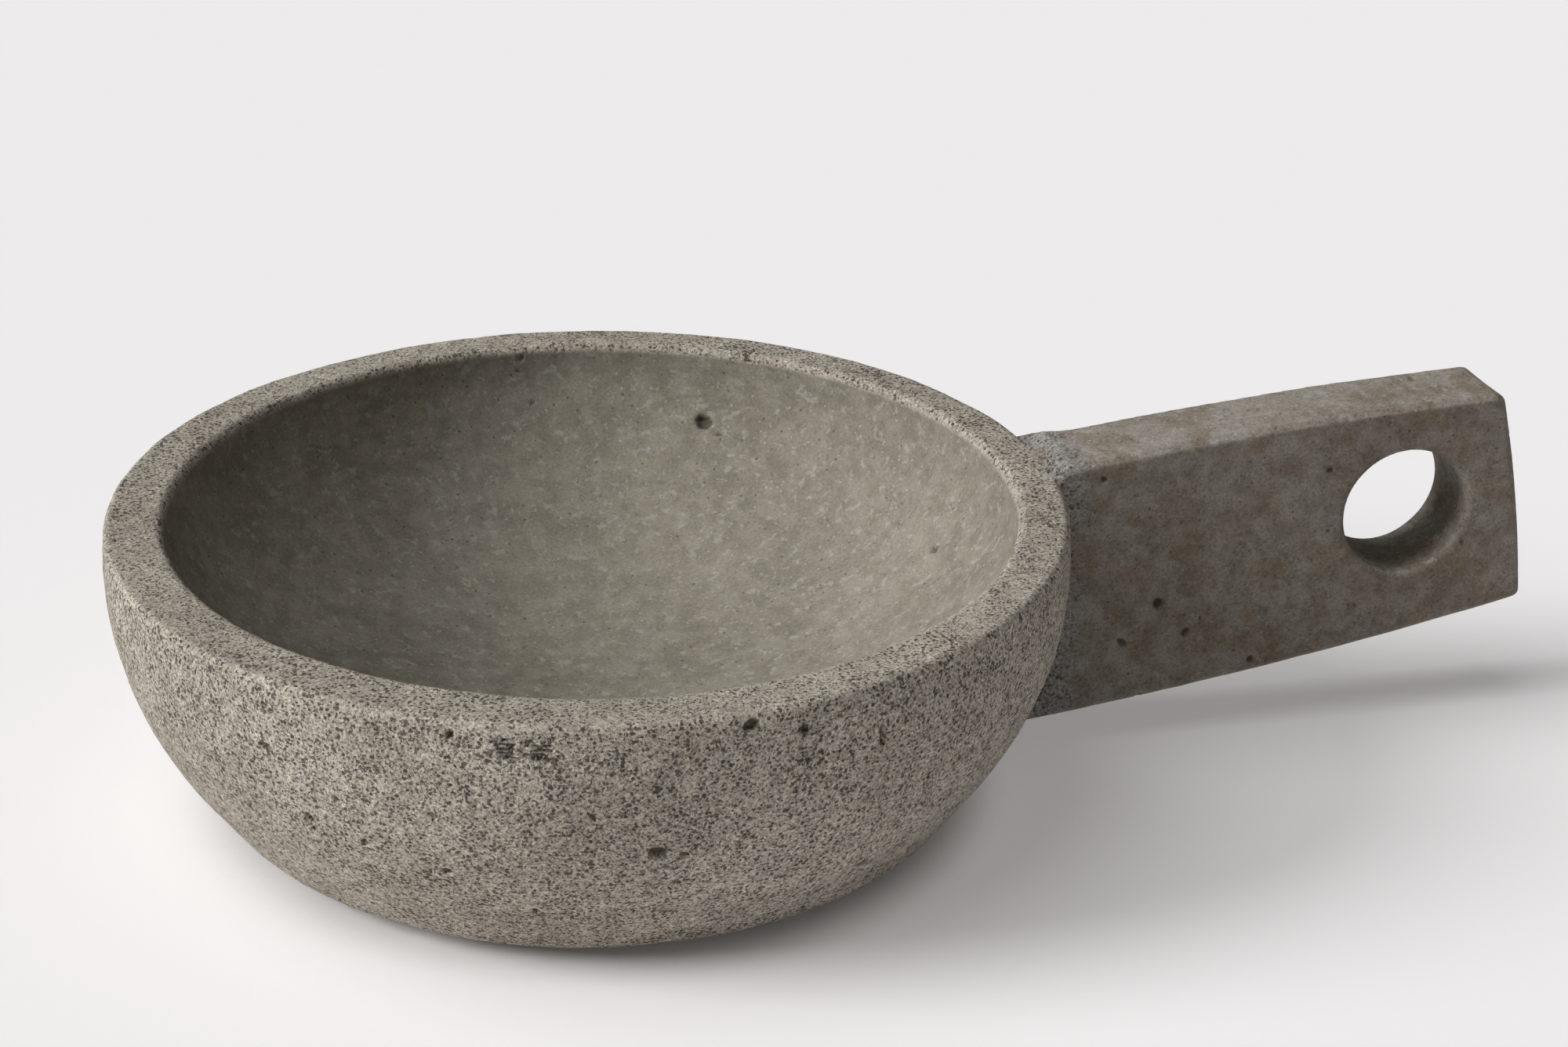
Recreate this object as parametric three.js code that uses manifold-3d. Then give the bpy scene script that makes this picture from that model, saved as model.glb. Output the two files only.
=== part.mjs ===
// A stone mortar: a shallow bowl with one flat slab handle, pierced near its end by a round eye.
// Millimetres, +Z up. The origin is on the bowl's axis, on the flat underside it stands on.
// The handle runs along +X and the part is the same on both sides of the XZ plane.

import * as THREE from "three";
import { mergeVertices } from "three/addons/utils/BufferGeometryUtils.js";
import Module from "manifold-3d";

// ---------------------------------------------------------------- driving dimensions

// Bowl
const RIM_HEIGHT = 64.2;
const RIM_RADIUS = 100; // outer edge of the flat rim
const RIM_WIDTH = 9.5;
const RIM_EDGE_BREAK = 1; // small bevel outside the rim
const LIP_ROUND = 1.4; // round between the rim and the hollow
const WALL_RADIUS = 101.6; // the outer wall is widest just below the rim
const WALL_WIDEST_Z = 55.5;
const WALL_SEMI_HEIGHT = 81.5; // the outer wall is part of an ellipse with this half-height
const HOLLOW_DEPTH = 47.5;

// Handle
const HANDLE_THICKNESS = 19.5;
const HANDLE_TOP_END = new THREE.Vector2(202.9, 76.6); // upper corner of the end face, as X and Z
const HANDLE_BOTTOM_END = new THREE.Vector2(211.9, 26.1); // lower corner of the end face
const HANDLE_TOP_ROOT = new THREE.Vector2(103.6, 67.4); // where the top edge leaves the root fillet
const HANDLE_BOTTOM_ROOT = new THREE.Vector2(80, 4.5); // lower edge, inside the bowl's wall
const HANDLE_TOP_CROWN = 1.6; // how far the top edge bulges above its chord
const HANDLE_BOTTOM_CROWN = 1.9; // how far the lower edge bulges below its chord
const HANDLE_EDGE_BREAK = 1.1;
const EYE_RADIUS = 14.6;
const EYE_CENTRE = new THREE.Vector2(182.1, 49.8);

// Joint between the two stones
const JOINT_GAP = 0.3;
const TENON_WIDTH = 12;
const TENON_DEPTH = 7; // how far the tenon enters the wall, measured square to the wall
const TENON_BOTTOM_Z = 15;
const TENON_TOP_Z = 45;

// Fineness of the facets
const ROUND_SEGMENTS = 96;
const WALL_STEPS = 16;
const HOLLOW_STEPS = 20;
const LIP_STEPS = 3;
const EDGE_STEPS = 20;

// Helper solids reach this far past what they cut
const OVERRUN = 12;

const stoneFinish = { roughness: 0.95, metalness: 0 };
const bowlStone = new THREE.MeshStandardMaterial({ color: "#8b877d", ...stoneFinish });
const handleStone = new THREE.MeshStandardMaterial({ color: "#77736b", ...stoneFinish });

const manifold = await Module();
manifold.setup();

// ---------------------------------------------------------------- solids

function toSolid(geometry) {
  const bare = geometry.clone();
  bare.deleteAttribute("normal");
  bare.deleteAttribute("uv");
  const merged = mergeVertices(bare, 1e-4);
  return new manifold.Manifold(
    new manifold.Mesh({
      numProp: 3,
      vertProperties: new Float32Array(merged.attributes.position.array),
      triVerts: new Uint32Array(merged.index.array),
    }),
  );
}

function toMesh(name, solid, material) {
  const { vertProperties, triVerts } = solid.getMesh();
  const geometry = new THREE.BufferGeometry();
  geometry.setAttribute("position", new THREE.BufferAttribute(vertProperties, 3));
  geometry.setIndex(new THREE.BufferAttribute(triVerts, 1));
  geometry.computeVertexNormals();
  const mesh = new THREE.Mesh(geometry, material);
  mesh.name = name;
  return mesh;
}

// Turns a profile of radius and height about the Z axis.
function turned(profilePath, steps) {
  const geometry = new THREE.LatheGeometry(profilePath.getPoints(steps), ROUND_SEGMENTS);
  geometry.rotateX(Math.PI / 2);
  return toSolid(geometry);
}

// Draws the lower outside of the bowl, from the axis out and up to just under the rim. grow moves
// the wall outward, or inward where it is negative.
function drawOuterWall(path, grow) {
  const radius = WALL_RADIUS + grow;
  const semiHeight = WALL_SEMI_HEIGHT + grow;
  const angleAt = (z) => Math.asin((z - WALL_WIDEST_Z) / semiHeight);
  const start = angleAt(0);
  const end = angleAt(RIM_HEIGHT - RIM_EDGE_BREAK);
  path.moveTo(0, 0);
  path.lineTo(radius * Math.cos(start), 0);
  for (let step = 1; step <= WALL_STEPS; step += 1) {
    const angle = start + ((end - start) * step) / WALL_STEPS;
    path.lineTo(radius * Math.cos(angle), WALL_WIDEST_Z + semiHeight * Math.sin(angle));
  }
}

// The bowl's outside as a solid plug, open-ended above the rim, for shaping what meets the wall.
function wallPlug(grow) {
  const path = new THREE.Path();
  drawOuterWall(path, grow);
  path.lineTo(RIM_RADIUS + grow, RIM_HEIGHT);
  path.lineTo(RIM_RADIUS + grow, RIM_HEIGHT + OVERRUN);
  path.lineTo(0, RIM_HEIGHT + OVERRUN);
  return turned(path, 1);
}

function turnedBowl() {
  const path = new THREE.Path();
  const hollowRadius = RIM_RADIUS - RIM_WIDTH;
  const lipZ = RIM_HEIGHT - LIP_ROUND;
  const floorZ = RIM_HEIGHT - HOLLOW_DEPTH;
  drawOuterWall(path, 0);
  path.lineTo(RIM_RADIUS, RIM_HEIGHT);
  for (let step = 0; step <= LIP_STEPS; step += 1) {
    const angle = (Math.PI / 2) * (1 + step / LIP_STEPS);
    path.lineTo(
      hollowRadius + LIP_ROUND * (1 + Math.cos(angle)),
      lipZ + LIP_ROUND * Math.sin(angle),
    );
  }
  for (let step = 1; step <= HOLLOW_STEPS; step += 1) {
    const angle = (Math.PI / 2) * (step / HOLLOW_STEPS);
    const radius = step === HOLLOW_STEPS ? 0 : hollowRadius * Math.cos(angle);
    path.lineTo(radius, lipZ - (lipZ - floorZ) * Math.sin(angle));
  }
  return turned(path, 1);
}

// A block centred on the XZ plane that reaches from inside the bowl into the handle's root.
function rootBlock(width, bottomZ, topZ, innerX, outerX) {
  const geometry = new THREE.BoxGeometry(outerX - innerX, width, topZ - bottomZ);
  geometry.translate((innerX + outerX) / 2, 0, (bottomZ + topZ) / 2);
  return toSolid(geometry);
}

// Tenon or mortise: the block less everything deeper in the wall than depth. clearance widens it.
function tenonBlock(depth, clearance, outerX) {
  const block = rootBlock(
    TENON_WIDTH + 2 * clearance,
    TENON_BOTTOM_Z - clearance,
    TENON_TOP_Z + clearance,
    RIM_RADIUS - 3 * OVERRUN,
    outerX,
  );
  return block.subtract(wallPlug(-depth));
}

// The handle's side outline, with its root still running into the bowl.
function handleOutline() {
  const outline = new THREE.Shape();
  const topMiddle = HANDLE_TOP_ROOT.clone().lerp(HANDLE_TOP_END, 0.5);
  const bottomMiddle = HANDLE_BOTTOM_ROOT.clone().lerp(HANDLE_BOTTOM_END, 0.5);
  const innerX = HANDLE_BOTTOM_ROOT.x;
  outline.moveTo(innerX, HANDLE_BOTTOM_ROOT.y);
  outline.quadraticCurveTo(
    bottomMiddle.x,
    bottomMiddle.y - 2 * HANDLE_BOTTOM_CROWN,
    HANDLE_BOTTOM_END.x,
    HANDLE_BOTTOM_END.y,
  );
  outline.lineTo(HANDLE_TOP_END.x, HANDLE_TOP_END.y);
  outline.quadraticCurveTo(
    topMiddle.x,
    topMiddle.y + 2 * HANDLE_TOP_CROWN,
    HANDLE_TOP_ROOT.x,
    HANDLE_TOP_ROOT.y,
  );
  // A small hollow fillet takes the top edge down to the level of the rim.
  outline.quadraticCurveTo(RIM_RADIUS + 1, RIM_HEIGHT + 0.8, RIM_RADIUS, RIM_HEIGHT);
  outline.lineTo(innerX, RIM_HEIGHT);
  outline.closePath();
  const eye = new THREE.Path();
  eye.absarc(EYE_CENTRE.x, EYE_CENTRE.y, EYE_RADIUS, 0, 2 * Math.PI, true);
  outline.holes.push(eye);
  return outline;
}

function slab() {
  const geometry = new THREE.ExtrudeGeometry(handleOutline(), {
    depth: HANDLE_THICKNESS - 2 * HANDLE_EDGE_BREAK,
    curveSegments: EDGE_STEPS,
    bevelEnabled: true,
    bevelThickness: HANDLE_EDGE_BREAK,
    bevelSize: HANDLE_EDGE_BREAK,
    bevelOffset: -HANDLE_EDGE_BREAK,
    bevelSegments: 1,
  });
  geometry.rotateX(Math.PI / 2);
  geometry.translate(0, HANDLE_THICKNESS / 2 - HANDLE_EDGE_BREAK, 0);
  return toSolid(geometry);
}

// ---------------------------------------------------------------- the two stones

const mortise = tenonBlock(TENON_DEPTH + JOINT_GAP, JOINT_GAP, RIM_RADIUS + 2 * OVERRUN);
const bowl = turnedBowl().subtract(mortise);

const tenon = tenonBlock(TENON_DEPTH, 0, RIM_RADIUS + OVERRUN / 2);
const handle = slab().subtract(wallPlug(JOINT_GAP)).add(tenon);

const molcajete = new THREE.Group();
molcajete.add(toMesh("bowl", bowl, bowlStone));
molcajete.add(toMesh("handle", handle, handleStone));

export default molcajete;
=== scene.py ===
"""A stone mortar with a flat pierced handle: its carved surface, its basalt and its studio.

Lengths are millimetres in the CAD's frame until a mesh is made, because Blender works in metres.
X runs from the bowl's axis out along the handle, and Z up from the floor.
"""

import math

import bpy
import numpy as np
import openvdb
from mathutils import Matrix, Vector


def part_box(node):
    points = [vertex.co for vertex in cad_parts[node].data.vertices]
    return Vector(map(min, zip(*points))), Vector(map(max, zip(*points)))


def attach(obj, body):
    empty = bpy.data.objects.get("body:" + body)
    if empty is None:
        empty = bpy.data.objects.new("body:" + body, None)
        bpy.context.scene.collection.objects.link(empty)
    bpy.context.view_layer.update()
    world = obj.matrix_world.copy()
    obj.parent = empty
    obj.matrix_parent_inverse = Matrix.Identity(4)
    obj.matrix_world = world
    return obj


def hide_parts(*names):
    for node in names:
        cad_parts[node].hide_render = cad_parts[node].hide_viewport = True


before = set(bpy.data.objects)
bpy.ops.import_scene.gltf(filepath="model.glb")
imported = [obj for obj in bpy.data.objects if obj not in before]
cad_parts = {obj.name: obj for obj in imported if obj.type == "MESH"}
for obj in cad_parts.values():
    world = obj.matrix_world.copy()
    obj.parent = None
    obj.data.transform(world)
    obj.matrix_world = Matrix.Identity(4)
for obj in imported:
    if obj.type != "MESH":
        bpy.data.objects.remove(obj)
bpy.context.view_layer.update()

MM = 0.001  # one millimetre in Blender's metres

# ---------------------------------------------------------------- sizes

BOWL_HIGH = np.array(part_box("bowl")[1]) / MM
HANDLE_LOW, HANDLE_HIGH = (np.array(corner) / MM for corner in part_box("handle"))

# The bowl, a body turned about Z. Its wall is an ellipse that is widest just under the rim.
RIM_Z = BOWL_HIGH[2]
WALL_RADIUS = BOWL_HIGH[0]
WALL_WIDEST_Z = 55.5
WALL_SEMI_HEIGHT = 81.5
RIM_INSET = 1.0  # from the wall's widest place in to where the flat rim would end, were it not rounded
RIM_RADIUS = WALL_RADIUS - RIM_INSET
RIM_WIDTH = 10.8
HOLLOW_RADIUS = RIM_RADIUS - RIM_WIDTH
HOLLOW_DEPTH = 47.5
HOLLOW_OFF_CENTRE = np.array([1.1, 1.2])  # the hollow was cut this far off the bowl's axis
RIM_EDGE_ROUND = 1.5
LIP_ROUND = 2.0
FOOT_ROUND = 16.0  # the wall rolls under to the flat it stands on
FOOT_OUT = 3.2  # how far outside the wall's own line the rolled corner is drawn
FOOT_HEIGHT = 13.0  # where the foot runs into the wall's own line

# The handle, a flat slab with its outline in the XZ plane.
HANDLE_HALF = HANDLE_HIGH[1]
# The end corners are where the end face's two edges would meet, were they not rounded.
HANDLE_TOP_END = (202.9, HANDLE_HIGH[2])
HANDLE_BOTTOM_END = (HANDLE_HIGH[0], 26.1)
HANDLE_TOP_ROOT = (96.0, 66.3)
HANDLE_BOTTOM_ROOT = (80.0, HANDLE_LOW[2])
HANDLE_TOP_CROWN = 1.6
HANDLE_BOTTOM_CROWN = 1.9
HANDLE_END_CROWN = 0.9
HANDLE_END_SKEW = 0.07  # how far the end face runs back for each step across the slab
HANDLE_TOP_CORNER = 3.2  # radius of the end face's upper corner
HANDLE_BOTTOM_CORNER = 1.8  # and of its lower one
HANDLE_EDGE_CHAMFER = 1.5
EYE_CENTRE = (182.1, 49.8)
EYE_RADIUS = 14.6
EYE_CHAMFER = 0.9
FAR_FILLET = 11.0  # in plan, where the handle's far side runs into the wall
NEAR_FILLET = 1.0
RISER_RADIUS = 100.0  # where the handle's top steps up out of the rim
RISER_SLOPE = 1.5  # how far the step goes up for each millimetre outward
RISER_EDGE = 1.4  # the break along the step's upper edge
ROOT_SINK = 0.35  # how far under the bowl's surface the root's web fades out
ROOT_DEPTH = 3.0  # how far into the wall the handle goes on

# Single larger pores of the bowl: the angle about Z in degrees, the height, and half the size along
# the turning and across it.
WALL_PORES = (
    (267, 35, 1.9, 1.5),
    (270, 34, 1.1, 0.8),
    (243, 29, 1.3, 0.9),
    (277, 62, 1.6, 1.0),
    (283, 59, 1.5, 1.1),
    (293, 53, 0.6, 2.4),
    (325, 61, 0.6, 3.4),
    (245, 61, 1.2, 1.0),
    (222, 50, 1.2, 0.9),
    (150, 40, 1.6, 1.2),
    (98, 33, 1.3, 1.6),
    (54, 47, 1.8, 1.2),
)
HOLLOW_PORES = (
    (62, 48, 2.2, 1.7),
    (59, 46, 1.6, 0.6),
    (7, 41, 1.4, 0.9),
    (228, 35, 1.2, 0.7),
)

# Single larger pores of the handle's near face: X, Z and half the size.
HANDLE_PORES = (
    (125, 33, 1.5),
    (117, 24, 1.2),
    (132, 25, 1.1),
    (148, 17, 1.1),
    (163, 62, 1.0),
    (111, 64, 1.0),
)

# The scored patches, each some rows of scratches just under the rim.
SCORED_ANGLES = (251, 254.5)
SCORED_ROWS = 5
SCORED_LOWEST = WALL_WIDEST_Z + 2.2
SCORED_PITCH = 0.9
SCORED_STAGGER = (0.5, -0.6, 0.2)  # in degrees, for one row after another
SCORED_HALF_LENGTH = 3.3
SCORED_HALF_WIDTH = 0.42
SCORED_DEPTH = 0.85

TOOL_RING_PITCH = 3.1  # the rings that the tool left in the hollow
TOOL_RING_HEIGHT = 0.045

# How closely the carved surfaces are sampled.
WALL_SPACING = 0.45
HOLLOW_SPACING = 0.6
BASE_SPACING = 1.3
RING_POINTS = 1408  # halves up to seven times on the way to the axis
RING_FEWEST = 11
RING_CROWDING = 0.62  # a ring halves where its points are closer than this share of the profile's
HANDLE_SPACING = 0.45

# ---------------------------------------------------------------- colours

STAIN_BROWN = (0.170, 0.122, 0.072)
# Fine pits, painted dark with dirt and painted shade.
PIT_BLACK = (0.026, 0.021, 0.016)
PIT_BROWN = (0.060, 0.050, 0.038)
BLOOM_GREY = (0.40, 0.39, 0.355)
FLECK_WHITE = (0.60, 0.58, 0.54)
SPECK_DARK = (0.05, 0.044, 0.036)
# Dust and painted shade for the larger pores.
PORE_DUST_AND_SHADE = (0.050, 0.040, 0.024)
PAPER_COLOURS = ((0.803, 0.793, 0.797), (0.817, 0.807, 0.811))
GLOW_COLOUR = (1.0, 0.98, 0.98, 1.0)
ROOM_COLOUR = (1.0, 0.97, 0.94, 1.0)
BACKDROP_COLOUR = (1.0, 0.985, 0.99, 1.0)

# ---------------------------------------------------------------- camera and room

# The camera looks at a point aside from and above the middle of the rim, as it sees them itself.
# Its angles are in degrees.
CAMERA_AZIMUTH = -13.649
CAMERA_ELEVATION = 24.470
CAMERA_ROLL = 0.925
CAMERA_DISTANCE = 702.45
AIM_ASIDE = 41.045
AIM_ABOVE = -3.839
LENS_LENGTH = 76.35
SENSOR_WIDTH = 36.0

FLOOR_REACH = 9000.0
GLOW_INNER = WALL_RADIUS - 26  # the paper's glow is weak inside this radius, and full outside the next
GLOW_OUTER = WALL_RADIUS - 10
GLOW_WEAK = 0.04
GLOW_FULL = 0.22
BACKDROP_STRENGTH = 0.84
ROOM_STRENGTH = 0.10
ROOM_LEAN = 0.08  # how much brighter the room is towards ROOM_BRIGHT, and dimmer away from it
ROOM_BRIGHT = (0.8, -0.1, -0.6)


# ---------------------------------------------------------------- repeatable noise


def hashed(cells, salt):
    """A number from 0 to 1 for each whole-number cell, the same at every run."""
    x, y, z = (cells[:, axis].astype(np.int64) for axis in range(3))
    mixed = (x * 374761393 + y * 668265263 + z * 1442695041 + salt * 974711) & 0xFFFFFFFF
    for _ in range(2):
        mixed = ((mixed ^ (mixed >> 15)) * 739982445) & 0xFFFFFFFF
    return ((mixed ^ (mixed >> 14)) & 0xFFFFF) / 0x100000


def smooth_step(low, high, value):
    part = np.clip((value - low) / (high - low), 0, 1)
    return part * part * (3 - 2 * part)


def lumps(points, size, salt):
    """Smooth noise from -1 to 1, with bumps about size across."""
    cell = np.floor(points / size)
    part = smooth_step(0, 1, points / size - cell)
    total = np.zeros(len(points))
    for corner in np.ndindex(2, 2, 2):
        weight = np.prod(np.where(corner, part, 1 - part), axis=1)
        total += weight * hashed(cell + corner, salt)
    return 2 * total - 1


def ragged(points, salt):
    """The points moved about a little, which makes the outlines of pores irregular."""
    slow = np.stack([lumps(points, 2.2, salt + axis) for axis in range(3)], axis=1)
    quick = np.stack([lumps(points, 1.0, salt + 5 + axis) for axis in range(3)], axis=1)
    return points + 0.6 * slow + 0.35 * quick


def bubble_cut(points, normals, cell, small, large, chance, salt):
    """How far each surface point drops to the far wall of the gas bubble that it lies in.

    Each cell of the rock holds at most one bubble. Chance may be one share for each point.
    """
    low = np.floor(points / cell - 0.5)
    deepest = np.zeros(len(points))
    for corner in np.ndindex(2, 2, 2):
        home = low + corner
        jitter = np.stack([hashed(home, salt + axis) for axis in range(3)], axis=1)
        centre = (home + 0.5 + 0.8 * (jitter - 0.5)) * cell
        radius = small + (large - small) * hashed(home, salt + 3) ** 2
        away = points - centre
        distance = np.sqrt((away**2).sum(axis=1))
        along = (away * normals).sum(axis=1)
        far_wall = np.sqrt(np.maximum(radius**2 - distance**2 + along**2, 0))
        inside = smooth_step(0, 0.3, radius - distance)
        inside = inside * (hashed(home, salt + 4) < chance)
        deepest = np.maximum(deepest, inside * np.minimum(along + far_wall, 1.3 * radius))
    return deepest


# ---------------------------------------------------------------- meshes


def make_mesh(name, points, faces, layers):
    """A smooth-shaded object from points in millimetres, arrays of faces, and layers of point values."""
    mesh = bpy.data.meshes.new(name)
    mesh.vertices.add(len(points))
    mesh.vertices.foreach_set("co", (points * MM).astype(np.float32).ravel())
    corners = np.concatenate([group.ravel() for group in faces])
    sizes = np.concatenate([np.full(len(group), group.shape[1]) for group in faces])
    mesh.loops.add(len(corners))
    mesh.loops.foreach_set("vertex_index", corners.astype(np.int32))
    mesh.polygons.add(len(sizes))
    starts = np.concatenate([[0], np.cumsum(sizes)[:-1]])
    mesh.polygons.foreach_set("loop_start", starts.astype(np.int32))
    mesh.polygons.foreach_set("use_smooth", np.ones(len(sizes), bool))
    for layer, values in layers.items():
        attribute = mesh.attributes.new(layer, "FLOAT", "POINT")
        attribute.data.foreach_set("value", values.astype(np.float32))
    mesh.update(calc_edges=True)
    mesh.validate()
    thing = bpy.data.objects.new(name, mesh)
    bpy.context.scene.collection.objects.link(thing)
    return thing


def vertex_normals(thing):
    normals = np.zeros(len(thing.data.vertices) * 3, np.float32)
    thing.data.vertex_normals.foreach_get("vector", normals)
    return normals.reshape(-1, 3).astype(float)


# ---------------------------------------------------------------- the bowl's profile


def wall_radius_at(z):
    return WALL_RADIUS * np.sqrt(1 - ((WALL_WIDEST_Z - z) / WALL_SEMI_HEIGHT) ** 2)


def rounded(before, corner, after, radius, steps=24):
    """The arc that rounds a corner between straight runs from before and on to after."""
    before, corner, after = (np.array(p, float) for p in (before, corner, after))
    back = (before - corner) / np.linalg.norm(before - corner)
    on = (after - corner) / np.linalg.norm(after - corner)
    half_angle = math.acos(np.clip(back @ on, -1, 1)) / 2
    middle = (back + on) / np.linalg.norm(back + on)
    centre = corner + middle * radius / math.sin(half_angle)
    start = corner + back * radius / math.tan(half_angle) - centre
    end = corner + on * radius / math.tan(half_angle) - centre
    turn = math.pi - 2 * half_angle
    share = np.linspace(0, 1, steps)[:, None]
    return centre + (np.sin((1 - share) * turn) * start + np.sin(share * turn) * end) / math.sin(turn)


def sampled(curve, spacing_at):
    """Points along a closely sampled curve, as far apart as spacing_at says at each place."""
    step = np.linalg.norm(np.diff(curve, axis=0), axis=1)
    middle = (curve[1:] + curve[:-1]) / 2
    count = np.concatenate([[0], np.cumsum(step / spacing_at(middle))])
    wanted = np.linspace(0, count[-1], int(round(count[-1])) + 1)
    return np.stack([np.interp(wanted, count, curve[:, axis]) for axis in range(2)], axis=1)


def bowl_profile():
    """The bowl's section from the middle of its base, up the wall, over the rim and down the hollow."""
    base_radius = wall_radius_at(0)
    wall_z = np.linspace(0, RIM_Z, 800)
    wall = np.stack([wall_radius_at(wall_z), wall_z], axis=1)
    angle = np.linspace(0, math.pi / 2, 900)
    floor_z = RIM_Z - HOLLOW_DEPTH
    hollow = np.stack(
        [HOLLOW_RADIUS * np.cos(angle), RIM_Z - (RIM_Z - floor_z) * np.sin(angle)], axis=1
    )
    foot_top = (wall_radius_at(FOOT_HEIGHT), FOOT_HEIGHT)
    foot = rounded((0, 0), (base_radius + FOOT_OUT, 0), foot_top, FOOT_ROUND)
    # wall[-40] and hollow[30] lie about 3 mm below the rim, where its two roundings aim.
    shoulder = rounded(wall[-40], (RIM_RADIUS + 0.5, RIM_Z), (HOLLOW_RADIUS, RIM_Z), RIM_EDGE_ROUND)
    lip = rounded((RIM_RADIUS, RIM_Z), (HOLLOW_RADIUS, RIM_Z), hollow[30], LIP_ROUND)
    wall = wall[(wall[:, 1] > FOOT_HEIGHT) & (wall[:, 1] < shoulder[0, 1])]
    hollow = hollow[hollow[:, 1] < lip[-1, 1]]
    base = np.stack([np.linspace(0, foot[0, 0], 200)[:-1], np.zeros(199)], axis=1)
    rim = np.stack([np.linspace(shoulder[-1, 0], lip[0, 0], 60)[1:-1], np.full(58, RIM_Z)], axis=1)
    curve = np.concatenate([base, foot, wall, shoulder, rim, lip, hollow])

    def spacing_at(middle):
        radius, z = middle[:, 0], middle[:, 1]
        in_hollow = (radius < HOLLOW_RADIUS - 1) & (z > 5)
        on_base = z < 1
        spacing = np.where(in_hollow, HOLLOW_SPACING, WALL_SPACING)
        return np.where(on_base & (radius < base_radius - 4), BASE_SPACING, spacing)

    return sampled(curve, spacing_at)


def ring_sizes(profile):
    """How many points each ring of the bowl has: fewer towards the axis, halving one step at a time."""
    radius = profile[:, 0]
    step = np.linalg.norm(np.gradient(profile, axis=0), axis=1)
    sizes = np.full(len(profile), RING_POINTS)
    for index in range(len(profile)):
        closest = RING_CROWDING * step[index]
        while sizes[index] > RING_FEWEST and 2 * math.pi * radius[index] / sizes[index] < closest:
            sizes[index] //= 2
    for order in (range(1, len(sizes)), range(len(sizes) - 2, -1, -1)):
        for index in order:
            neighbour = sizes[index - 1] if order.step == 1 else sizes[index + 1]
            sizes[index] = min(sizes[index], 2 * neighbour)
    return sizes


def ring_faces(lower, upper, lower_size, upper_size):
    """The faces between two rings that start at points lower and upper. Sizes are equal or 1 to 2."""
    size = min(lower_size, upper_size)
    here = np.arange(size)
    after = (here + 1) % size
    if lower_size == upper_size:
        return np.stack([lower + here, lower + after, upper + after, upper + here], axis=1), None
    if lower_size > upper_size:
        first, middle = lower + 2 * here, lower + 2 * here + 1
        last = lower + (2 * here + 2) % lower_size
        near, far = upper + here, upper + after
        trios = [(first, middle, near), (middle, last, far), (middle, far, near)]
    else:
        first, middle = upper + 2 * here, upper + 2 * here + 1
        last = upper + (2 * here + 2) % upper_size
        near, far = lower + here, lower + after
        trios = [(near, middle, first), (far, last, middle), (near, far, middle)]
    return None, np.concatenate([np.stack(trio, axis=1) for trio in trios])


def pole_fan(pole, start, size):
    """The faces between a point on the axis and the ring that starts at point start."""
    here = np.arange(size)
    return np.stack([np.full(size, pole), start + (here + 1) % size, start + here], axis=1)


def turned_surface(profile):
    """Points, outward normals and faces of the body that the profile sweeps about Z."""
    inner = profile[1:-1]
    sizes = ring_sizes(inner)
    slope = np.gradient(profile, axis=0)[1:-1]
    slope /= np.linalg.norm(slope, axis=1)[:, None]
    starts = np.concatenate([[0], np.cumsum(sizes)])
    points, normals, quads, trios = [], [], [], []
    for index, size in enumerate(sizes):
        angle = 2 * math.pi * np.arange(size) / size
        cos, sin = np.cos(angle), np.sin(angle)
        radius, z = inner[index]
        out, up = slope[index, 1], -slope[index, 0]
        points.append(np.stack([radius * cos, radius * sin, np.full(size, z)], axis=1))
        normals.append(np.stack([out * cos, out * sin, np.full(size, up)], axis=1))
        if index:
            found = ring_faces(starts[index - 1], starts[index], sizes[index - 1], size)
            quads.append(found[0])
            trios.append(found[1])
    base_pole = starts[-1]
    trios.append(pole_fan(base_pole, 0, sizes[0]))
    trios.append(pole_fan(base_pole + 1, starts[-2], sizes[-1])[:, ::-1])
    points.append(np.array([[0, 0, profile[0, 1]], [0, 0, profile[-1, 1]]]))
    normals.append(np.array([[0, 0, -1.0], [0, 0, 1.0]]))
    faces = [np.concatenate([f for f in group if f is not None]) for group in (quads, trios)]
    return np.concatenate(points), np.concatenate(normals), faces


# ---------------------------------------------------------------- carving


def hollow_radius_at(z):
    return HOLLOW_RADIUS * np.sqrt(1 - ((RIM_Z - z) / HOLLOW_DEPTH) ** 2)


def bowl_marks(points):
    """How deep the bowl's single large pores and its scored patches are at each point."""
    marks = []
    for radius_at, relative_depth, pores in (
        (wall_radius_at, 0.9, WALL_PORES),
        (hollow_radius_at, 0.7, HOLLOW_PORES),
    ):
        for angle, height, half_along, half_across in pores:
            depth = relative_depth * math.sqrt(half_along * half_across)
            marks.append((angle, radius_at(height), height, half_along, half_across, depth))
    for patch_angle in SCORED_ANGLES:
        for row in range(SCORED_ROWS):
            angle = patch_angle + SCORED_STAGGER[row % len(SCORED_STAGGER)]
            height = SCORED_LOWEST + SCORED_PITCH * row
            size = (SCORED_HALF_LENGTH, SCORED_HALF_WIDTH, SCORED_DEPTH)
            marks.append((angle, WALL_RADIUS, height, *size))
    point_angle = np.degrees(np.arctan2(points[:, 1], points[:, 0]))
    point_radius = np.hypot(points[:, 0], points[:, 1])
    cut = np.zeros(len(points))
    for angle, radius, height, half_along, half_across, depth in marks:
        turn = (point_angle - angle + 180) % 360 - 180
        along = np.radians(turn) * radius / half_along
        across = np.hypot(point_radius - radius, points[:, 2] - height) / half_across
        cut = np.maximum(cut, depth * smooth_step(1.15, 0.55, np.hypot(along, across)))
    return cut


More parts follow.
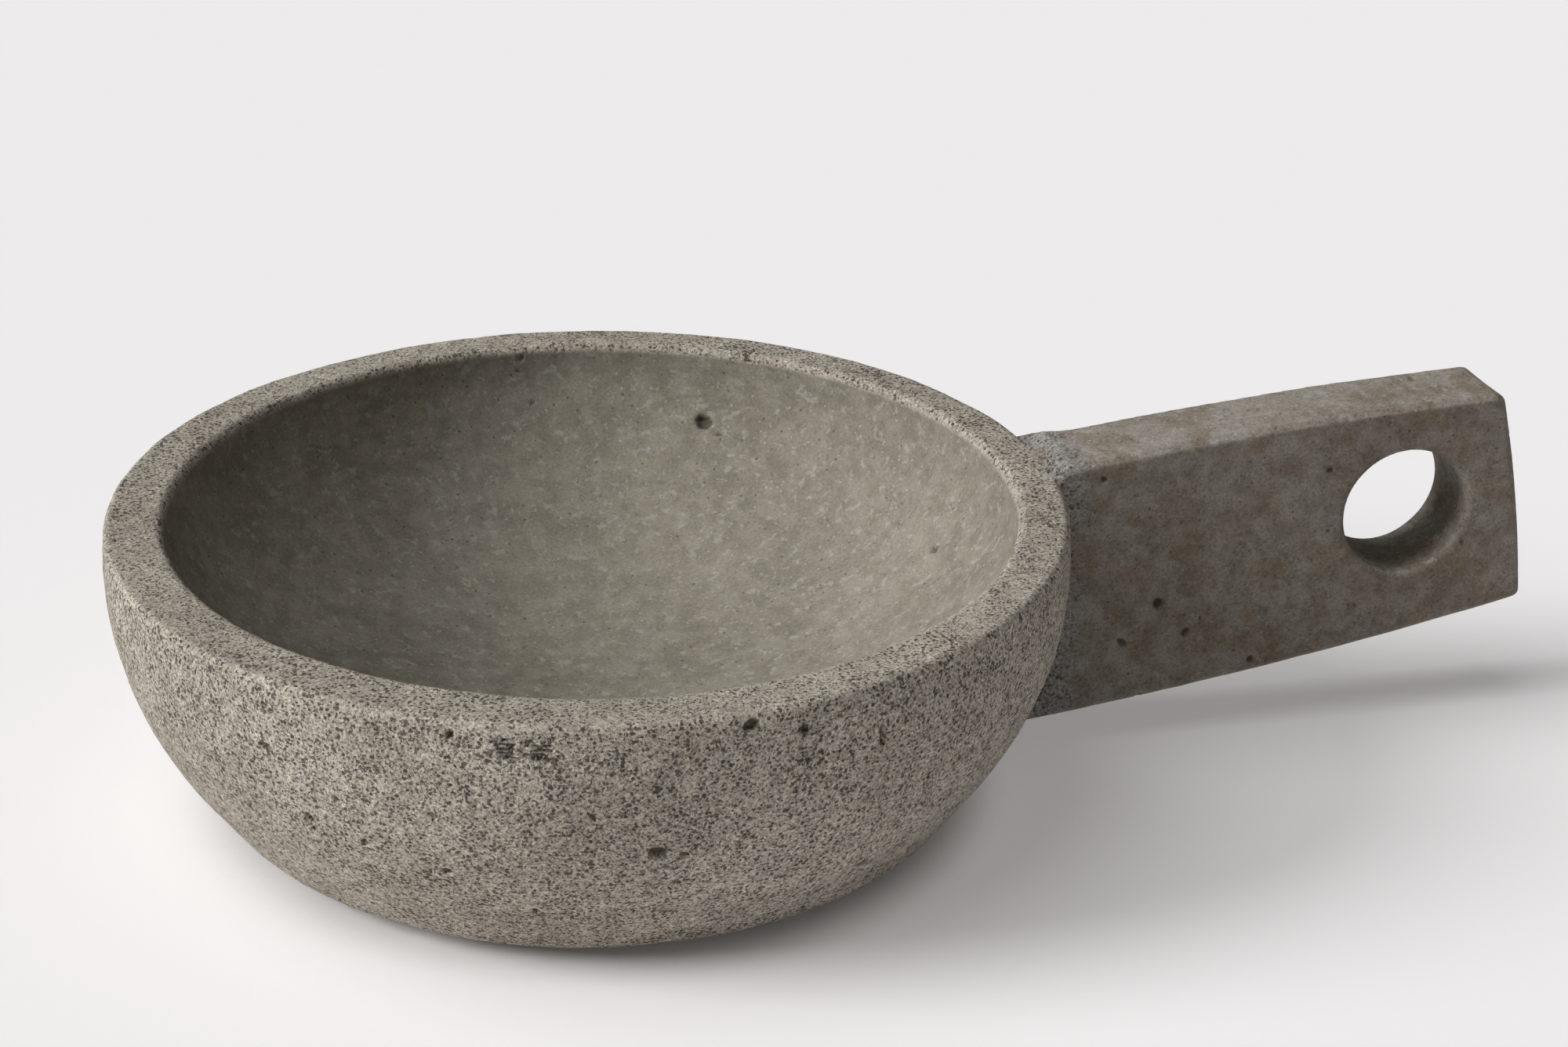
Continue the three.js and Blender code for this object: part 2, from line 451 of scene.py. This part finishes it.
def carve_bowl(points, normals):
    """The smooth bowl's points moved to the worked stone, and the layers that its material reads.

    Each call of lumps has the size of its bumps in millimetres, and a salt of its own.
    """
    radius = np.hypot(points[:, 0], points[:, 1])
    outward = (points[:, 0] * normals[:, 0] + points[:, 1] * normals[:, 1]) / np.maximum(radius, 1)
    faces_in = (normals[:, 2] > -0.05) & (outward < 0.3)
    below_lip = smooth_step(RIM_Z - 0.5, RIM_Z - 2.5, points[:, 2])
    inside = below_lip * (radius < HOLLOW_RADIUS + LIP_ROUND) * faces_in
    on_rim = smooth_step(RIM_Z - 2.4, RIM_Z - 0.6, points[:, 2] + 0.8 * lumps(points, 5, 11))
    open_grain = (1 - 0.25 * on_rim) * (1 - inside)

    wavy = ragged(points, 40)
    swell = 0.30 * lumps(points, 42, 1) + 0.10 * lumps(points, 13, 2)
    swell += (0.02 + 0.07 * open_grain) * lumps(points, 4.5, 3)
    swell += 0.06 * open_grain * lumps(points, 1.7, 4)

    share = 0.16 + 0.52 * open_grain**2
    pores = bubble_cut(wavy, normals, cell=4.0, small=0.45, large=0.90, chance=share, salt=20)
    wide = bubble_cut(wavy, normals, cell=11.0, small=0.9, large=1.5, chance=share * 0.5, salt=30)
    pores = np.maximum(pores, wide) * (0.4 + 0.45 * open_grain)
    pores = np.maximum(pores, bowl_marks(wavy))

    tool_rings = np.sin(points[:, 2] * 2 * math.pi / TOOL_RING_PITCH + 1.5 * lumps(points, 25, 50))
    swell += TOOL_RING_HEIGHT * inside * tool_rings * smooth_step(-0.1, 0.5, lumps(points, 30, 51))

    moved = points + normals * (swell - pores)[:, None]
    moved[:, 2] = np.maximum(moved[:, 2], 0)
    off_wall = (normals[:, 2] > -0.05) & (outward < 0.9)
    off_axis = off_wall * smooth_step(RIM_RADIUS - 1, HOLLOW_RADIUS, radius)
    moved[:, :2] += off_axis[:, None] * HOLLOW_OFF_CENTRE
    layers = {
        "open_grain": open_grain,
        "inside": inside,
        "pore": smooth_step(0.1, 0.9, pores),
    }
    return moved, layers


def make_bowl():
    points, normals, faces = turned_surface(bowl_profile())
    moved, layers = carve_bowl(points, normals)
    return make_mesh("bowl_carved", moved, faces, layers)


# ---------------------------------------------------------------- the handle


def bowed(start, end, crown, steps=40):
    """A curve from start to end whose middle stands crown off the chord, to its left."""
    start, end = np.array(start, float), np.array(end, float)
    along = (end - start) / np.linalg.norm(end - start)
    left = np.array([-along[1], along[0]])
    share = np.linspace(0, 1, steps)[:, None]
    return start + share * (end - start) + 4 * crown * share * (1 - share) * left


def outline_distance(x, z):
    """Distance from the slab's outline in the XZ plane, less than 0 inside it."""
    top = bowed(HANDLE_TOP_ROOT, HANDLE_TOP_END, HANDLE_TOP_CROWN)
    end = bowed(HANDLE_TOP_END, HANDLE_BOTTOM_END, HANDLE_END_CROWN)
    bottom = bowed(HANDLE_BOTTOM_END, HANDLE_BOTTOM_ROOT, HANDLE_BOTTOM_CROWN)
    outline = np.concatenate(
        [
            top[:-2],
            rounded(top[-3], HANDLE_TOP_END, end[3], HANDLE_TOP_CORNER, 10),
            end[4:-4],
            rounded(end[-4], HANDLE_BOTTOM_END, bottom[2], HANDLE_BOTTOM_CORNER, 8),
            bottom[2:-1],
            # The last three points lie inside the bowl, where the root is cut off anyway.
            [HANDLE_BOTTOM_ROOT, (HANDLE_BOTTOM_ROOT[0] - 10, 1.0), (HANDLE_TOP_ROOT[0] - 1, RIM_Z - 3)],
        ]
    )
    nearest = np.full(x.shape, np.inf)
    inside = np.zeros(x.shape, bool)
    for (ax, az), (bx, bz) in zip(outline, np.roll(outline, -1, axis=0)):
        length_squared = (bx - ax) ** 2 + (bz - az) ** 2
        share = np.clip(((x - ax) * (bx - ax) + (z - az) * (bz - az)) / length_squared, 0, 1)
        nearest = np.minimum(nearest, np.hypot(x - ax - share * (bx - ax), z - az - share * (bz - az)))
        crosses = (az > z) != (bz > z)
        cross_x = ax + (z - az) * (bx - ax) / (bz - az if bz != az else 1)
        inside ^= crosses & (x < cross_x)
    return np.where(inside, -nearest, nearest)


def chamfered(one, other, size):
    """The overlap of two solids given as distances, with a flat break of that size along their edge."""
    return np.maximum(np.maximum(one, other), (one + other + size) / math.sqrt(2))


def filleted(one, other, radius):
    """The union of two solids given as distances, with a round fillet of that radius where they meet."""
    gap_one = np.maximum(radius - one, 0)
    gap_other = np.maximum(radius - other, 0)
    return np.maximum(radius, np.minimum(one, other)) - np.hypot(gap_one, gap_other)


def handle_distance(x, y, z, outline):
    """Distance from the handle's surface, its root included, less than 0 inside the stone."""
    height = np.clip((z - WALL_WIDEST_Z) / WALL_SEMI_HEIGHT, -0.99, 0.99)
    shrink = np.sqrt(1 - height**2)
    steepness = np.hypot(1 / shrink, WALL_RADIUS * height / (shrink**2 * WALL_SEMI_HEIGHT))
    wall = (np.hypot(x, y) / shrink - WALL_RADIUS) / steepness + ROOT_SINK
    sides = np.abs(y) - HANDLE_HALF
    plan = np.where(y > 0, filleted(sides, wall, FAR_FILLET), filleted(sides, wall, NEAR_FILLET))
    slab = chamfered(outline, plan, HANDLE_EDGE_CHAMFER)
    eye = EYE_RADIUS - np.hypot(x - EYE_CENTRE[0], z - EYE_CENTRE[1])
    slab = np.where(eye > -EYE_RADIUS / 2, chamfered(slab, eye, EYE_CHAMFER), slab)
    riser = (z - RIM_Z - RISER_SLOPE * (np.hypot(x, y) - RISER_RADIUS)) / math.hypot(1, RISER_SLOPE)
    slab = chamfered(slab, riser, RISER_EDGE)
    return np.maximum(slab, -ROOT_DEPTH - wall)


def smooth_handle():
    """The slab's points and faces, drawn from its distance on a fine grid.

    Its outline is worked out for the near and the far face, and slides from one to the other.
    """
    low = np.array([HANDLE_LOW[0] - 4, -HANDLE_HALF - 10, HANDLE_LOW[2] - 4])
    high = np.array([HANDLE_HIGH[0] + 3, HANDLE_HALF + 10, HANDLE_HIGH[2] + 3])
    count = np.ceil((high - low) / HANDLE_SPACING).astype(int)
    x, y, z = (low[axis] + HANDLE_SPACING * np.arange(count[axis]) for axis in range(3))
    flat_x, flat_z = np.meshgrid(x, z, indexing="ij")
    near = outline_distance(flat_x - HANDLE_END_SKEW * HANDLE_HALF, flat_z)
    far = outline_distance(flat_x + HANDLE_END_SKEW * HANDLE_HALF, flat_z)
    far_share = ((np.clip(y / HANDLE_HALF, -1, 1) + 1) / 2)[None, :, None]
    outline = near[:, None, :] * (1 - far_share) + far[:, None, :] * far_share
    distance = handle_distance(x[:, None, None], y[None, :, None], z[None, None, :], outline)
    grid = openvdb.FloatGrid(1.0)
    grid.copyFromArray(np.clip(distance / HANDLE_SPACING, -4, 4).astype(np.float32))
    corners, quads = grid.convertToQuads(0.0)
    points = low + HANDLE_SPACING * corners
    return points, quads.astype(int)


def handle_marks(points, normals):
    """How deep the single large pores of the handle's near face are at each point."""
    cut = np.zeros(len(points))
    for x, z, size in HANDLE_PORES:
        away = np.hypot(points[:, 0] - x, points[:, 2] - z) / size
        cut = np.maximum(cut, 0.8 * size * smooth_step(1.1, 0.4, away))
    return cut * (normals[:, 1] < -0.5)


def make_handle():
    points, quads = smooth_handle()
    smooth = make_mesh("handle_smooth", points, [quads], {})
    normals = vertex_normals(smooth)
    bpy.data.objects.remove(smooth)
    near_bowl = smooth_step(110, 101, np.hypot(points[:, 0], points[:, 1]) + lumps(points, 6, 60))
    wavy = ragged(points, 70)
    swell = 0.25 * lumps(points, 38, 61) + 0.08 * lumps(points, 12, 62) + 0.05 * lumps(points, 4, 63)
    pores = bubble_cut(wavy, normals, cell=4.4, small=0.4, large=0.8, chance=0.35, salt=80)
    wide = bubble_cut(wavy, normals, cell=13.0, small=0.8, large=1.3, chance=0.3, salt=90)
    pores = np.maximum(pores, wide) * 0.65
    pores = np.maximum(pores, handle_marks(wavy, normals))
    moved = points + normals * (swell - pores)[:, None]
    layers = {
        "open_grain": 0.22 + 0.5 * near_bowl,
        # Here inside marks the upward faces: the material paints them lighter as painted light, and the
        # sides darker, partly as painted shade and partly as browner stone.
        "inside": smooth_step(0.2, 0.8, normals[:, 2]),
        "pore": smooth_step(0.1, 0.9, pores),
    }
    return make_mesh("handle_carved", moved, [quads], layers)


# ---------------------------------------------------------------- materials


class Recipe:
    """Makes the nodes of one material by short calls, each of which returns an output socket."""

    def __init__(self, name):
        self.material = bpy.data.materials.new(name)
        self.material.use_nodes = True
        self.tree = self.material.node_tree
        self.shader = self.tree.nodes["Principled BSDF"]

    def node(self, kind, inputs, **settings):
        made = self.tree.nodes.new(kind)
        for key, value in settings.items():
            setattr(made, key, value)
        for key, value in inputs.items():
            if isinstance(value, bpy.types.NodeSocket):
                self.tree.links.new(value, made.inputs[key])
            else:
                made.inputs[key].default_value = value
        return made

    def millimetres(self):
        """The place on the object in millimetres."""
        return self.scaled(self.node("ShaderNodeTexCoord", {}).outputs["Object"], 1 / MM)

    def layer(self, name):
        """What the mesh says under that name at each point."""
        return self.node("ShaderNodeAttribute", {}, attribute_name=name).outputs["Fac"]

    def noise(self, place, size, detail=2.0, roughness=0.5, output="Fac"):
        """Noise with features about size millimetres across."""
        inputs = {"Vector": place, "Scale": 1 / size, "Detail": detail, "Roughness": roughness}
        return self.node("ShaderNodeTexNoise", inputs).outputs[output]

    def cells(self, place, size, output="Distance"):
        """Random cells about size millimetres across: the distance to the nearest, or its colour."""
        inputs = {"Vector": place, "Scale": 1 / size}
        return self.node("ShaderNodeTexVoronoi", inputs).outputs[output]

    def math(self, operation, one, other):
        return self.node("ShaderNodeMath", {0: one, 1: other}, operation=operation).outputs[0]

    def ramp(self, value, low, high, to_low=0.0, to_high=1.0):
        """Value from low to high turned into to_low to to_high, smoothly and held at the ends."""
        inputs = {"Value": value, 1: low, 2: high, 3: to_low, 4: to_high}
        made = self.node("ShaderNodeMapRange", inputs, interpolation_type="SMOOTHSTEP")
        return made.outputs["Result"]

    def mix(self, factor, one, other):
        """Colour one turned into the other. A colour is a socket or three numbers."""
        colours = [c if isinstance(c, bpy.types.NodeSocket) else (*c, 1.0) for c in (one, other)]
        made = self.node("ShaderNodeMix", {}, data_type="RGBA")
        for key, value in ((0, factor), (6, colours[0]), (7, colours[1])):
            if isinstance(value, bpy.types.NodeSocket):
                self.tree.links.new(value, made.inputs[key])
            else:
                made.inputs[key].default_value = value
        return made.outputs[2]

    def channel(self, colour, which):
        """The colour's red, green or blue, as which is 0, 1 or 2."""
        return self.node("ShaderNodeSeparateColor", {0: colour}).outputs[which]

    def scaled(self, colour, factor):
        """The colour or the place times a factor."""
        made = self.node("ShaderNodeVectorMath", {0: colour, "Scale": factor}, operation="SCALE")
        return made.outputs["Vector"]

    def shifted(self, place, by, amount):
        """The place moved by up to about amount millimetres each way, to make shapes irregular."""
        centred = self.node("ShaderNodeVectorMath", {0: by, 1: (0.5, 0.5, 0.5)}, operation="SUBTRACT")
        step = self.scaled(centred.outputs["Vector"], amount)
        return self.node("ShaderNodeVectorMath", {0: place, 1: step}, operation="ADD").outputs["Vector"]


def basalt(name, open_colours, honed_and_shaded_side_colours, hollow_and_lit_top_colours, rust):
    """Vesicular basalt: pale crystals, fine open pits, larger pores. Colours are pairs, dark then light.

    Open colours are where the grain is open, honed ones where it is not, and hollow ones where the
    mesh's layer inside says so. On the handle that layer marks the upward faces: the lighter hollow
    colours there are painted light, and the darker, browner honed colours on its sides are partly
    browner stone and partly painted shade. Rust is how strongly brown stains show, from 0 to 1.
    """
    rock = Recipe(name)
    place = rock.millimetres()
    bent = rock.shifted(place, rock.noise(place, 1.1, 2.0, output="Color"), 0.9)
    open_grain = rock.layer("open_grain")
    inside = rock.layer("inside")
    pore = rock.layer("pore")

    # The rock's tone: broad clouds, then patches, in its open, honed and hollow colours. On the handle
    # the lighter colours on the upward faces are painted light, and the darker ones on the sides are
    # partly painted shade.
    clouds = rock.ramp(rock.noise(place, 34.0, 2.0), 0.36, 0.64)
    patches = rock.ramp(rock.noise(bent, 5.0, 3.0, 0.6), 0.36, 0.64)
    patch_share = rock.ramp(open_grain, 0.0, 1.0, 0.60, 0.40)
    patch_tone = rock.math("MULTIPLY", patches, patch_share)
    tone = rock.math("ADD", rock.math("MULTIPLY", clouds, 0.4), patch_tone)
    honed_tone = rock.mix(inside, rock.mix(tone, *honed_and_shaded_side_colours), rock.mix(tone, *hollow_and_lit_top_colours))
    colour = rock.mix(open_grain, honed_tone, rock.mix(tone, *open_colours))

    stain = rock.ramp(rock.noise(bent, 8.0, 3.0, 0.6), 0.47, 0.66, 0.0, rust)
    colour = rock.mix(stain, colour, STAIN_BROWN)

    # Crystals about a third of a millimetre across, each with its own lightness.
    crystal = rock.channel(rock.cells(bent, 0.45, "Color"), 0)
    powder = rock.noise(place, 0.6, 3.0, 0.75)
    grain = rock.math("ADD", rock.math("MULTIPLY", crystal, 0.7), rock.math("MULTIPLY", powder, 2.6))
    contrast = rock.ramp(open_grain, 0.0, 1.0, 0.28, 1.0)
    lightness = rock.math("MULTIPLY", rock.math("SUBTRACT", grain, 1.65), contrast)
    colour = rock.scaled(colour, rock.math("MAXIMUM", rock.math("ADD", lightness, 1.0), 0.15))

    # Fine open pits, closer together in some places than in others: ragged ones, then round ones.
    crowding = rock.ramp(rock.noise(place, 6.0, 3.0, 0.6), 0.35, 0.65, -0.02, 0.02)
    threshold = rock.math("ADD", rock.ramp(open_grain, 0.0, 1.0, 0.30, 0.42), crowding)
    below = rock.math("SUBTRACT", threshold, rock.noise(bent, 0.62, 2.0, 0.8))
    pit_ragged = rock.ramp(below, -0.005, 0.03)
    crumbled = rock.shifted(place, rock.noise(place, 0.45, 2.0, output="Color"), 0.6)
    pit_size = rock.ramp(rock.channel(rock.cells(crumbled, 0.85, "Color"), 2), 0.2, 1.0, -0.10, 0.52)
    pit_reach = rock.math("ADD", pit_size, rock.math("MULTIPLY", crowding, 3.0))
    pit_round = rock.ramp(rock.math("SUBTRACT", pit_reach, rock.cells(crumbled, 0.85)), -0.03, 0.05)
    pit_round = rock.math("MULTIPLY", pit_round, rock.ramp(open_grain, 0.0, 0.8, 0.12, 1.0))
    pit = rock.math("MAXIMUM", pit_ragged, pit_round)
    # The pits are painted dark: dirt in them, and painted shade for holes that are only a bump.
    pit_colour = rock.mix(patches, PIT_BLACK, PIT_BROWN)
    colour = rock.mix(rock.math("MULTIPLY", pit, 0.85), colour, pit_colour)

    # Pale blurred crystals, clearest in the honed hollow, and dark specks. On the handle the crystals
    # are clearest on the upward faces, where they add to the painted light.
    bloom = rock.ramp(rock.noise(bent, 2.4, 3.0, 0.6), 0.57, 0.67)
    bloom_strength = rock.ramp(inside, 0.0, 1.0, 0.16, 0.58)
    colour = rock.mix(rock.math("MULTIPLY", bloom, bloom_strength), colour, BLOOM_GREY)
    fleck_shape = rock.ramp(rock.cells(bent, 1.7), 0.18, 0.10)
    fleck_there = rock.ramp(rock.channel(rock.cells(bent, 1.7, "Color"), 1), 0.50, 0.55)
    fleck_strength = rock.ramp(open_grain, 0.0, 1.0, 0.42, 0.75)
    fleck = rock.math("MULTIPLY", rock.math("MULTIPLY", fleck_shape, fleck_there), fleck_strength)
    colour = rock.mix(fleck, colour, FLECK_WHITE)
    speck_shape = rock.ramp(rock.cells(place, 2.6), 0.15, 0.09)
    speck_there = rock.ramp(rock.channel(rock.cells(place, 2.6, "Color"), 0), 0.45, 0.50)
    speck = rock.math("MULTIPLY", speck_shape, rock.math("MULTIPLY", speck_there, 0.6))
    colour = rock.mix(speck, colour, SPECK_DARK)

    # The larger pores are painted darker: dust in them, and painted shade.
    colour = rock.mix(rock.math("MULTIPLY", pore, 0.75), colour, PORE_DUST_AND_SHADE)

    rough = rock.ramp(rock.noise(place, 3.0, 3.0), 0.3, 0.7, 0.82, 0.95)
    height = rock.math("SUBTRACT", rock.math("MULTIPLY", grain, 0.4), pit)
    relief = rock.ramp(open_grain, 0.0, 1.0, 0.35, 1.0)
    bump = rock.node("ShaderNodeBump", {"Height": height, "Distance": 0.14 * MM, "Strength": relief})
    rock.tree.links.new(colour, rock.shader.inputs["Base Color"])
    rock.tree.links.new(rough, rock.shader.inputs["Roughness"])
    rock.tree.links.new(bump.outputs["Normal"], rock.shader.inputs["Normal"])
    rock.shader.inputs["Specular IOR Level"].default_value = 0.25
    return rock.material


def bowl_stone():
    return basalt(
        "basalt_bowl",
        open_colours=((0.350, 0.312, 0.258), (0.500, 0.456, 0.384)),
        honed_and_shaded_side_colours=((0.500, 0.462, 0.393), (0.640, 0.592, 0.505)),
        hollow_and_lit_top_colours=((0.222, 0.204, 0.164), (0.318, 0.293, 0.241)),
        rust=0.10,
    )


def handle_stone():
    return basalt(
        "basalt_handle",
        open_colours=((0.200, 0.196, 0.196), (0.300, 0.293, 0.285)),
        # The honed colours fall on the handle's sides, darker partly as painted shade; the hollow
        # colours fall on its upward faces, lighter as painted light.
        honed_and_shaded_side_colours=((0.142, 0.112, 0.076), (0.252, 0.224, 0.184)),
        hollow_and_lit_top_colours=((0.250, 0.218, 0.175), (0.355, 0.320, 0.268)),
        rust=0.45,
    )


def paper():
    """A pale matt sheet that glows faintly, and less under the bowl, so that the shadows stay light."""
    sheet = Recipe("floor_paper")
    place = sheet.millimetres()
    fibre = sheet.noise(place, 1.2, 3.0)
    colour = sheet.mix(sheet.ramp(fibre, 0.3, 0.7), *PAPER_COLOURS)
    sheet.tree.links.new(colour, sheet.shader.inputs["Base Color"])
    sheet.shader.inputs["Roughness"].default_value = 1.0
    sheet.shader.inputs["Specular IOR Level"].default_value = 0.0
    sheet.shader.inputs["Emission Color"].default_value = GLOW_COLOUR
    out = sheet.node("ShaderNodeVectorMath", {0: place}, operation="LENGTH").outputs["Value"]
    glow = sheet.ramp(out, GLOW_INNER, GLOW_OUTER, GLOW_WEAK, GLOW_FULL)
    sheet.tree.links.new(glow, sheet.shader.inputs["Emission Strength"])
    return sheet.material


# ---------------------------------------------------------------- studio


def make_floor():
    """A wide pale sheet that the mortar stands on."""
    corners = FLOOR_REACH * np.array([(-1, -1, 0), (1, -1, 0), (1, 1, 0), (-1, 1, 0)], float)
    floor = make_mesh("floor", corners, [np.array([[0, 1, 2, 3]])], {})
    floor.data.materials.append(paper())


def make_lamp(name, azimuth, elevation, width, energy):
    """A soft lamp far off in the given direction, all angles in degrees."""
    lamp = bpy.data.objects.new(name, bpy.data.lights.new(name, "SUN"))
    bpy.context.scene.collection.objects.link(lamp)
    turn, rise = math.radians(azimuth), math.radians(elevation)
    towards = Vector((math.cos(turn) * math.cos(rise), math.sin(turn) * math.cos(rise), math.sin(rise)))
    lamp.rotation_euler = (-towards).to_track_quat("-Z", "Y").to_euler()
    lamp.data.angle = math.radians(width)
    lamp.data.energy = energy


def make_lights():
    """A tall soft window on the left, as a low lamp and a broad high one, and a dim room."""
    make_lamp("window_low", azimuth=181, elevation=29, width=26, energy=2.55)
    make_lamp("window_high", azimuth=184, elevation=62, width=50, energy=1.10)
    bpy.context.scene.world = room()


def room():
    """The room's dim light, a little stronger from the right and from below, and a plain pale backdrop.

    Only the camera sees the backdrop. It lights nothing.
    """
    world = bpy.data.worlds.new("room")
    world.use_nodes = True
    tree = world.node_tree
    lit = tree.nodes["Background"]
    lit.inputs["Color"].default_value = ROOM_COLOUR
    direction = tree.nodes.new("ShaderNodeTexCoord").outputs["Generated"]
    towards = tree.nodes.new("ShaderNodeVectorMath")
    towards.operation = "DOT_PRODUCT"
    towards.inputs[1].default_value = ROOM_BRIGHT
    tree.links.new(direction, towards.inputs[0])
    strength = tree.nodes.new("ShaderNodeMath")
    strength.operation = "MULTIPLY_ADD"
    strength.inputs[1].default_value = ROOM_LEAN
    strength.inputs[2].default_value = ROOM_STRENGTH
    strength.use_clamp = True
    tree.links.new(towards.outputs["Value"], strength.inputs[0])
    tree.links.new(strength.outputs[0], lit.inputs["Strength"])
    backdrop = tree.nodes.new("ShaderNodeBackground")
    backdrop.inputs["Color"].default_value = BACKDROP_COLOUR
    backdrop.inputs["Strength"].default_value = BACKDROP_STRENGTH
    seen = tree.nodes.new("ShaderNodeLightPath").outputs["Is Camera Ray"]
    either = tree.nodes.new("ShaderNodeMixShader")
    tree.links.new(seen, either.inputs[0])
    tree.links.new(lit.outputs[0], either.inputs[1])
    tree.links.new(backdrop.outputs[0], either.inputs[2])
    tree.links.new(either.outputs[0], tree.nodes["World Output"].inputs["Surface"])
    return world


def make_camera():
    azimuth, elevation = math.radians(CAMERA_AZIMUTH), math.radians(CAMERA_ELEVATION)
    roll = math.radians(CAMERA_ROLL)
    level = math.cos(elevation)
    back = Vector((math.sin(azimuth) * level, -math.cos(azimuth) * level, math.sin(elevation)))
    right = (-back).cross(Vector((0, 0, 1))).normalized()
    up = right.cross(-back)
    aim = Vector((0, 0, RIM_Z)) + right * AIM_ASIDE + up * AIM_ABOVE
    rolled_right = right * math.cos(roll) + up * math.sin(roll)
    rolled_up = up * math.cos(roll) - right * math.sin(roll)
    camera = bpy.data.objects.new("camera", bpy.data.cameras.new("camera"))
    bpy.context.scene.collection.objects.link(camera)
    camera.data.sensor_width = SENSOR_WIDTH
    camera.data.lens = LENS_LENGTH
    turn = Matrix((rolled_right, rolled_up, back)).transposed().to_4x4()
    camera.matrix_world = Matrix.Translation((aim + back * CAMERA_DISTANCE) * MM) @ turn
    bpy.context.scene.camera = camera


make_camera()
make_lights()
make_floor()
bpy.context.scene.view_settings.view_transform = "Standard"

bowl = make_bowl()
bowl.data.materials.append(bowl_stone())
handle = make_handle()
handle.data.materials.append(handle_stone())
for piece, node in ((bowl, "bowl"), (handle, "handle")):
    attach(piece, "root")
    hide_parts(node)
